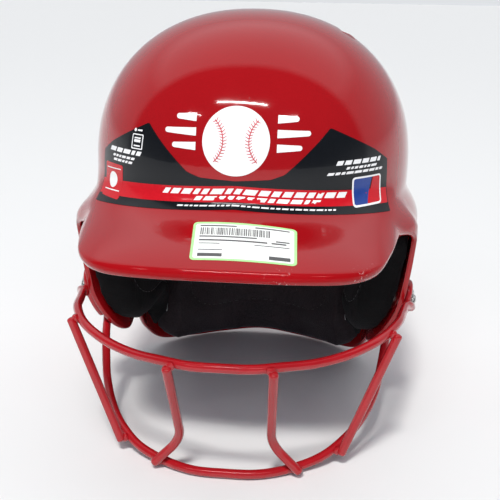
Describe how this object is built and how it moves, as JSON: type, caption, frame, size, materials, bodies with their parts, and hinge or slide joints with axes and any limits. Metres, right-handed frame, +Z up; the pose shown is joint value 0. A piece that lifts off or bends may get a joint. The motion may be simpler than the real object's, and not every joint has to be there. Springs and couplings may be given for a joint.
{
  "type": "batting helmet",
  "caption": "Batting helmet with a rounded dome, front bill and ear flaps, lined with soft pads and fitted with a bolted wire face guard.",
  "frame": {"origin": "on the table under the middle of the helmet's bounding box; the helmet rests on the guard's chin wire and on the nape edge of the shell", "axes": "+Z up, -Y towards the front of the helmet (bill and face guard), +X towards the wearer's left; left and right in node names are the wearer's"},
  "size_m": [0.1996, 0.2674, 0.2325],
  "materials": {
    "shell_plastic": "moulded, high gloss",
    "liner_foam": "cloth-faced foam, matt",
    "ear_pad_fabric": "cloth-faced foam, matt",
    "coated_wire": "vinyl dip coating, semi-gloss",
    "spacer_plastic": "satin",
    "zinc_steel": "zinc plated",
    "decal_vinyl": "gloss film",
    "label_vinyl": "gloss film",
    "sticker_paper": "matt paper"
  },
  "bodies": {
    "root": {"shell": "shell_plastic", "crown_pad": "liner_foam", "front_pad": "liner_foam", "rear_pad": "ear_pad_fabric", "left_temple_pad": "liner_foam", "right_temple_pad": "liner_foam", "left_ear_pad": "ear_pad_fabric", "right_ear_pad": "ear_pad_fabric", "guard_chin_wire": "coated_wire", "guard_upper_bar": "coated_wire", "guard_left_outer_upright": "coated_wire", "guard_left_front_upright": "coated_wire", "guard_right_front_upright": "coated_wire", "guard_right_outer_upright": "coated_wire", "guard_spacers": "spacer_plastic", "guard_washers": "zinc_steel", "guard_screws": "zinc_steel", "guard_tee_nuts": "zinc_steel", "emblem_decal": "decal_vinyl", "forehead_label": "label_vinyl", "price_sticker": "sticker_paper"}
  },
  "joints": []
}
